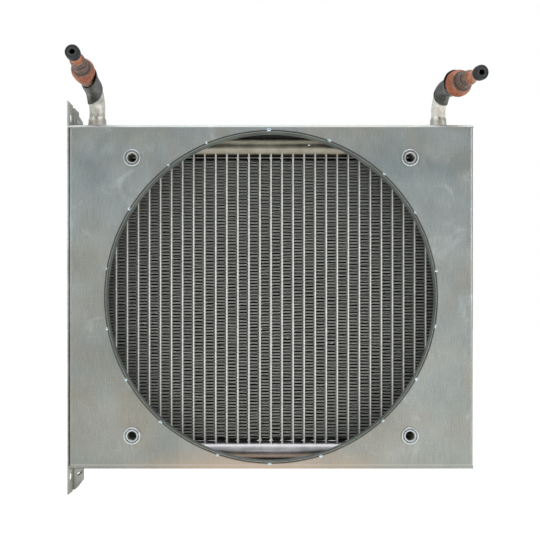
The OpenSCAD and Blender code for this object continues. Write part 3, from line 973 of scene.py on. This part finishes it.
def cast_alloy_material(name, light, dark, rough, patch, banded=None):
    """Brazed aluminium: soft mottling, pale flux stains and a fine frosted surface.

    A header is banded by painted reflections and shade that run along it."""
    shader = Shader(name, metallic=0.95)
    mottle = shader.noise(90, detail=5, rough=0.6)
    stains = shader.noise(35, detail=4, rough=0.6, distortion=0.8)
    frost = shader.noise(1800, detail=2)
    body = shader.two_tone(mottle, dark, light, 0.3, 0.7)
    body = shader.mix(shader.ramp(stains, [(0.58, 0), (0.75, patch)]), body, srgb(226, 222, 212))
    if banded:
        low, high = box(banded)
        # Painted reflections and shade in bands up the header.
        tint = shader.ramp(shader.place("Z", low.z, high.z), HEADER_PAINTED_BANDS)
        body = shader.mix(1.0, body, tint, "MULTIPLY")
    shader.colour(body)
    spread = shader.times(shader.ramp(mottle, [(0.3, 0), (0.7, 1)]), 0.15)
    shader.roughness(shader.math("ADD", spread, rough))
    shader.bump(mottle, 0.12 * MM)
    shader.bump(frost, 0.015 * MM)
    return shader.material


def tube_material():
    """Extruded tube: a bright nose with its sides darkened behind it as painted shade, lines along its
    length and spots of flux.
    """
    front = box("inlet_pass_tubes")[0].y
    shader = Shader("tube_aluminium", metallic=0.35)
    lines = shader.noise((900, 900, 25), detail=2)
    flux = shader.noise(420, detail=4, rough=0.6)
    body = shader.two_tone(flux, srgb(214, 212, 204), srgb(246, 244, 238))
    body = shader.overlay(0.2, body, lines, 0.4, 0.75)
    # Painted shade on the tube's sides behind its nose.
    body = shader.mix(shader.place("Y", front + 0.05 * MM, front + 0.55 * MM), body, srgb(128, 127, 122))
    shader.surface(body, flux, 0.38, 0.6)
    shader.bump(flux, 0.05 * MM)
    return shader.material


def fin_material():
    """Fin stock: frosted bright cut edges at the front and back; near black between them as painted shade,
    varied by dust.
    """
    low, high = box("fin_strips")
    edge = 0.5 * MM
    shader = Shader("fin_aluminium", metallic=0.4)
    dust = shader.noise(120, detail=5, rough=0.65)
    legs = shader.noise((60, 60, 700), detail=2)
    frost = shader.noise(1100, detail=3)
    # Painted shade: the fins between their edges are near black, varied by dust.
    body = shader.two_tone(dust, srgb(24, 24, 22), srgb(44, 44, 41), 0.3, 0.7)
    body = shader.overlay(0.35, body, legs, 0.3, 0.75)
    front = shader.math("SUBTRACT", 1.0, shader.place("Y", low.y + 0.2 * MM, low.y + edge))
    back = shader.place("Y", high.y - edge, high.y - 0.2 * MM)
    rim = shader.two_tone(frost, srgb(160, 160, 154), srgb(206, 206, 200))
    body = shader.mix(shader.math("ADD", front, back), body, rim)
    # Painted shade: near black where the legs by the headers are set back.
    shade_by_bottom_header = shader.place("Z", low.z + BOTTOM_LEGS + 0.6 * MM, low.z + BOTTOM_LEGS + 0.2 * MM)
    shade_by_top_header = shader.place("Z", high.z - TOP_LEGS - 0.6 * MM, high.z - TOP_LEGS - 0.2 * MM)
    body = shader.mix(shader.math("ADD", shade_by_bottom_header, shade_by_top_header), body, srgb(16, 16, 15))
    shader.surface(body, dust, 0.45, 0.65)
    return shader.material


def seal_material():
    """Closed-cell foam: black, dull and pitted."""
    shader = Shader("foam_strip")
    cells = shader.noise(1500, detail=3, rough=0.7)
    shader.colour(shader.ramp(cells, [(0.35, srgb(20, 21, 21)), (0.65, srgb(40, 41, 40))]))
    shader.roughness(0.9)
    shader.bump(cells, 0.2 * MM)
    return shader.material


def ring_material():
    """The rolled ring: fine lines round it, a lighter front lip and a painted gap shadow along its outer
    edge.
    """
    low, high = box("fan_ring")
    shader = Shader("ring_sheet", metallic=0.6)
    clouds = shader.noise(30, detail=4)
    drawn = shader.noise((60, 1600, 60), detail=2)
    ring_edge_shadow_noise = shader.noise(260, detail=4)
    body = shader.two_tone(clouds, srgb(122, 130, 126), srgb(148, 156, 150))
    body = shader.overlay(0.2, body, drawn, 0.3, 0.7)
    lip = shader.place("Y", low.y + 0.9 * MM, low.y + 0.3 * MM)
    body = shader.stain_and_light(body, lip, 0.5, srgb(226, 230, 224))
    # Painted shadow of the gap between the ring and the opening's edge, along the ring's outer edge.
    outer = shader.between(shader.from_fan_axis(), high.x - 0.7 * MM, high.x - 0.5 * MM)
    ring_edge_shadow = shader.two_tone(ring_edge_shadow_noise, srgb(52, 46, 40), srgb(84, 70, 56))
    body = shader.mix(outer, body, ring_edge_shadow)
    shader.surface(body, clouds, 0.42, 0.55)
    shader.bump(drawn, 0.01 * MM)
    return shader.material


def plated_material():
    """Zinc plate: bright grey with tiny dimples."""
    shader = Shader("zinc_plate", metallic=0.95)
    patches = shader.noise(300, detail=4)
    body = shader.two_tone(patches, srgb(184, 189, 190), srgb(212, 216, 216))
    shader.surface(body, patches, 0.26, 0.38)
    shader.bump(shader.noise(1400, detail=2), 0.01 * MM)
    return shader.material


def nut_material():
    """The rivet nuts' zinc in rings: a dark bore and outer edge as painted shade, a bright ring by the mouth
    and a bright rim as painted highlights, a dull knurled band, and a painted gap shadow where the flange
    meets the sheet.
    """
    spacing = MOUNTS["fan_bolts"]["dims"]["spacing_x_mm"] * MM
    shader = Shader("nut_zinc", metallic=0.9)
    squares = []
    for axis in ("X", "Z"):
        off_centre = shader.math("SUBTRACT", shader.math("ABSOLUTE", shader.axis(axis)), spacing / 2)
        squares.append(shader.times(off_centre, off_centre))
    radius = shader.math("POWER", shader.math("ADD", *squares), 0.5)
    across = shader.between(radius, 3 * MM, 8 * MM)
    knurl = shader.noise(1300, detail=2)
    # Rings of colour across the flange: the dark bore and outer edge are painted shade, the bright rings by
    # the mouth and at the rim are painted highlights.
    body = shader.ramp(across, [
        (0.0, srgb(120, 118, 108)), (0.2, srgb(176, 176, 168)), (0.34, srgb(214, 218, 218)),
        (0.42, srgb(140, 146, 148)), (0.66, srgb(150, 156, 158)), (0.74, srgb(206, 211, 212)),
        (0.84, srgb(228, 231, 231)), (0.9, srgb(120, 122, 120))])
    band = shader.window(across, 0.4, 0.46, 0.66, 0.72)
    marks = shader.times(band, shader.ramp(knurl, [(0.46, 0), (0.56, 1)]))
    body = shader.stain_and_light(body, marks, 0.75, srgb(70, 74, 76))
    # Painted shadow of the gap where the flange meets the sheet.
    flange_gap_shadow = shader.place("Y", -0.75 * MM, -0.4 * MM)
    on_rim = shader.between(radius, 6.6 * MM, 7 * MM)
    body = shader.stain_and_light(body, flange_gap_shadow, on_rim, srgb(58, 58, 54))
    shader.surface(body, knurl, 0.26, 0.38)
    shader.bump(knurl, 0.01 * MM)
    return shader.material


def pipe_material(name, light, dark, metallic):
    """Drawn aluminium pipe: draw lines along it, scuffs and grey stains."""
    shader = Shader(name, metallic=metallic)
    stains = shader.noise(110, detail=5, rough=0.6)
    scuffs = shader.noise((700, 700, 90), detail=3)
    body = shader.two_tone(stains, dark, light, 0.35, 0.62)
    body = shader.overlay(0.25, body, scuffs, 0.3, 0.75)
    shader.surface(body, stains, 0.52, 0.36)
    shader.bump(scuffs, 0.04 * MM)
    shader.bump(stains, 0.1 * MM)
    return shader.material


def shrink_material():
    """Shrunk polyolefin: dark grey, faintly shiny, with dust in its creases."""
    shader = Shader("shrink_sleeve")
    creases = shader.noise((260, 260, 260), detail=4, distortion=1.2)
    dust = shader.noise(700, detail=4)
    body = shader.two_tone(creases, srgb(50, 50, 48), srgb(88, 87, 82))
    body = shader.mix(shader.ramp(dust, [(0.6, 0), (0.8, 0.35)]), body, srgb(120, 118, 110))
    shader.surface(body, creases, 0.5, 0.36)
    shader.bump(creases, 0.18 * MM)
    return shader.material


def copper_material():
    """Torch-heated copper: rusty orange on the bulb, brown and grey heat tint by the joints.

    Along and radial are in millimetres. The colours of the length are over 60 mm of it."""
    shader = Shader("torched_copper", metallic=0.45)
    along = shader.attribute("along")
    ragged = shader.times(shader.math("SUBTRACT", shader.noise(180, detail=4), 0.5), 4.0)
    place = shader.math("DIVIDE", shader.math("ADD", along, ragged), 60.0)
    body = shader.ramp(place, [
        (0.0, srgb(160, 132, 118)), (0.16, srgb(158, 126, 110)), (0.27, srgb(170, 98, 68)),
        (0.44, srgb(168, 100, 72)), (0.48, srgb(118, 100, 92)), (0.73, srgb(110, 94, 88)),
        (0.765, srgb(200, 116, 80)), (0.9, srgb(206, 146, 120))])
    mottle = shader.noise(330, detail=6, rough=0.7)
    body = shader.mix(shader.ramp(mottle, [(0.48, 0), (0.66, 0.65)]), body, srgb(104, 70, 56))
    bright = shader.noise(240, detail=5, rough=0.7)
    body = shader.mix(shader.ramp(bright, [(0.56, 0), (0.7, 0.55)]), body, srgb(220, 140, 104))
    in_groove = shader.window(along, 36.2, 36.8, 38.2, 38.8)
    body = shader.stain_and_light(body, in_groove, 0.85, srgb(40, 33, 30))
    behind_rings = shader.window(along, 27.8, 28.6, 29.8, 30.4)
    body = shader.stain_and_light(body, behind_rings, 0.75, srgb(46, 36, 32))
    # Painted shade: near black inside the bore.
    bore_shade = shader.between(shader.attribute("radial"), 4.45, 4.3)
    body = shader.mix(bore_shade, body, srgb(22, 18, 17))
    shader.surface(body, mottle, 0.4, 0.66)
    shader.bump(mottle, 0.1 * MM)
    return shader.material


def rubber_material():
    """Moulded rubber: slate black, with bloom and dust, and a painted highlight round the slope of its
    dished end.
    """
    shader = Shader("cap_rubber")
    bloom = shader.noise(260, detail=5, rough=0.6)
    grain = shader.noise(2200, detail=2)
    body = shader.two_tone(bloom, srgb(21, 25, 25), srgb(37, 42, 42), 0.35, 0.7)
    # Painted highlight: a lighter ring on the slope of the dished end.
    dish_highlight = shader.window(shader.attribute("radial"), 2.7, 3.1, 4.2, 4.7)
    body = shader.stain_and_light(body, dish_highlight, 0.7, srgb(74, 74, 67))
    shader.surface(body, bloom, 0.5, 0.66)
    shader.bump(grain, 0.006 * MM)
    return shader.material


def filler_material(name, metallic, scale, detail, dark, light, shiny, dull, depth):
    """Metal that was melted in place: a mottled skin, shinier in places."""
    shader = Shader(name, metallic=metallic)
    skin = shader.noise(scale, detail=detail)
    shader.surface(shader.two_tone(skin, dark, light), skin, shiny, dull)
    shader.bump(skin, depth)
    return shader.material


def dress(material, *nodes):
    """Gives CAD pieces their material."""
    for node in nodes:
        mesh = frame["nodes"][node].data
        mesh.materials.clear()
        mesh.materials.append(material)


# ---- the stage


def floor_material():
    shader = Shader("pale_floor")
    speckle = shader.noise(25, detail=3)
    shader.colour(shader.ramp(speckle, [(0.3, srgb(246, 246, 246)), (0.7, srgb(251, 251, 251))]))
    shader.roughness(0.9)
    shader.bsdf.inputs["Specular IOR Level"].default_value = 0.1
    shader.bsdf.inputs["Emission Color"].default_value = srgb(255, 255, 255)
    seen = shader.node("LightPath").outputs["Is Camera Ray"]
    glow = shader.math("ADD", shader.times(seen, FLOOR_GLOW_TO_CAMERA), FLOOR_GLOW)
    shader.plug(glow, shader.bsdf.inputs["Emission Strength"])
    return shader.material


def build_floor():
    """A wide pale floor that touches the lowest ear of the foot plate."""
    z = frame_low.z
    mesh = bpy.data.meshes.new("floor")
    corners = [(x * FLOOR_REACH, y * FLOOR_REACH, z) for x, y in ((-1, -1), (1, -1), (1, 1), (-1, 1))]
    mesh.from_pydata(corners, [], [(0, 1, 2, 3)])
    mesh.materials.append(floor_material())
    add_object("floor", mesh)


def add_softbox(name, place, size, power, colour):
    """A rectangular lamp that faces the frame's origin."""
    light = bpy.data.lights.new(name, "AREA")
    light.shape = "RECTANGLE"
    light.size, light.size_y = size
    light.energy = power
    light.color = colour
    lamp = add_object(name, light)
    lamp.location = place
    lamp.rotation_euler = (-Vector(place)).to_track_quat("-Z", "Y").to_euler()


def build_lights():
    """A soft overhead box, and a cool and a warm card for the metal to reflect."""
    add_softbox("overhead", (0, -0.2, 1.7), (2.4, 2.0), 18, (1, 1, 1))
    add_softbox("left_window", (-1.7, -1.2, 0.7), (1.2, 1.4), 4, (0.92, 0.97, 1))
    add_softbox("right_card", (1.6, -1.0, 0.2), (0.9, 1.2), 6, (1, 0.97, 0.93))


def build_world():
    """White behind the object; for light and reflections, a cool room above a warm bench."""
    world = bpy.data.worlds.new("studio")
    world.use_nodes = True
    world.node_tree.nodes.clear()
    sky = Nodes(world.node_tree)
    direction = sky.node("TexCoord").outputs["Generated"]
    height = sky.node("SeparateXYZ", Vector=direction).outputs["Z"]
    tint = sky.ramp(sky.between(height, -1, 1), [
        (0.0, (0.62, 0.52, 0.42, 1)), (0.44, (0.60, 0.53, 0.45, 1)), (0.5, (0.50, 0.50, 0.48, 1)),
        (0.62, (0.46, 0.51, 0.52, 1)), (1.0, (0.86, 0.89, 0.9, 1))])
    room = sky.node("Background", Color=tint, Strength=0.9)
    white = sky.node("Background", Color=(1, 1, 1, 1), Strength=1.0)
    choose = sky.node("MixShader", Fac=sky.node("LightPath").outputs["Is Camera Ray"])
    sky.plug(room.outputs["Background"], choose.inputs[1])
    sky.plug(white.outputs["Background"], choose.inputs[2])
    sky.node("OutputWorld", Surface=choose.outputs["Shader"])
    bpy.context.scene.world = world


def build_camera():
    """The photograph's viewpoint: straight on, a little below the opening's centre."""
    data = bpy.data.cameras.new("camera")
    data.lens = LENS
    data.sensor_width = SENSOR
    data.shift_x, data.shift_y = SHIFT
    data.clip_start = 0.01
    data.clip_end = 50
    camera = add_object("camera", data)
    camera.location = CAMERA_PLACE
    camera.rotation_euler = Euler((math.radians(90), 0, 0))
    bpy.context.scene.camera = camera
    bpy.context.scene.view_settings.view_transform = "Standard"


# ---- build


def build_connections():
    stub_r = MOUNTS["inlet_stub"]["dims"]["r_mm"] * MM
    drawn = {
        "inlet": pipe_material("inlet_pipe_alloy", srgb(230, 227, 219), srgb(190, 185, 174), 0.6),
        "outlet": pipe_material("outlet_pipe_alloy", srgb(252, 251, 246), srgb(222, 214, 200), 0.35)}
    shrink = shrink_material()
    copper = copper_material()
    filler = filler_material(
        "copper_braze", 0.6, 420, 3, srgb(120, 90, 78), srgb(164, 122, 102), 0.42, 0.58, 0.05 * MM)
    rubber = rubber_material()
    white_metal = cast_alloy_material("socket_filler", srgb(232, 229, 222), srgb(186, 182, 172), 0.3, 0.5)
    for side in FITTINGS:
        line = Connection(side)
        build_pipe(line, drawn[side])
        build_sleeve(line, shrink)
        build_adapter(line, stub_r - 0.2 * MM, copper)
        build_stub(line, stub_r, copper)
        build_braze(line, stub_r, filler)
        build_cap(line, stub_r, rubber)
        build_socket_braze(line, white_metal)


def dress_frame():
    sheet = sheet_material("shroud_sheet", srgb(176, 180, 179), srgb(156, 163, 163), 0.3)
    # Painted light: the foot plate and the bracket are lighter copies of the shroud's sheet, to lift their
    # shaded faces.
    foot = sheet_material("foot_sheet", srgb(214, 217, 215), srgb(190, 194, 193), 0.4, metallic=0.6)
    folded = sheet_material("bracket_sheet", srgb(204, 207, 205), srgb(180, 184, 184), 0.4, metallic=0.75)
    top = cast_alloy_material(
        "top_header_alloy", srgb(212, 204, 186), srgb(172, 163, 144), 0.3, 0.3, "top_header")
    bottom = cast_alloy_material("bottom_header_alloy", srgb(212, 208, 210), srgb(178, 174, 177), 0.28, 0.35)
    socket = cast_alloy_material("socket_aluminium", srgb(222, 218, 208), srgb(186, 181, 170), 0.34, 0.4)
    rail = cast_alloy_material("rail_aluminium", srgb(190, 190, 188), srgb(160, 160, 158), 0.36, 0.2)
    zinc = plated_material()
    dress(sheet, "shroud_panel")
    dress(foot, "foot_plate")
    dress(folded, "core_bracket")
    dress(ring_material(), "fan_ring")
    dress(top, "top_header", "header_end_caps", "pass_baffle")
    dress(bottom, "bottom_header")
    dress(socket, "inlet_socket", "outlet_socket")
    dress(rail, "left_side_channel", "right_side_channel")
    dress(zinc, "foot_rivets", "bracket_screws", "shroud_screws")
    dress(seal_material(), "top_seal", "bottom_seal")
    soften_edges(0.25 * MM, "foot_plate", "core_bracket")
    soften_edges(0.2 * MM, "inlet_socket", "outlet_socket", "left_side_channel", "right_side_channel")


dress_frame()
build_fins(fin_material())
build_tubes(tube_material())
build_rivet_nuts(nut_material())
# Weld metal, coloured blue-white as partly painted glint.
weld_and_glint = filler_material(
    "weld_metal_glint", 1.0, 700, 4, srgb(168, 190, 200), srgb(226, 240, 246), 0.18, 0.4, 0.08 * MM)
build_tack_welds(weld_and_glint)
build_braze_blob(weld_and_glint)
build_connections()
build_floor()
build_lights()
build_world()
build_camera()
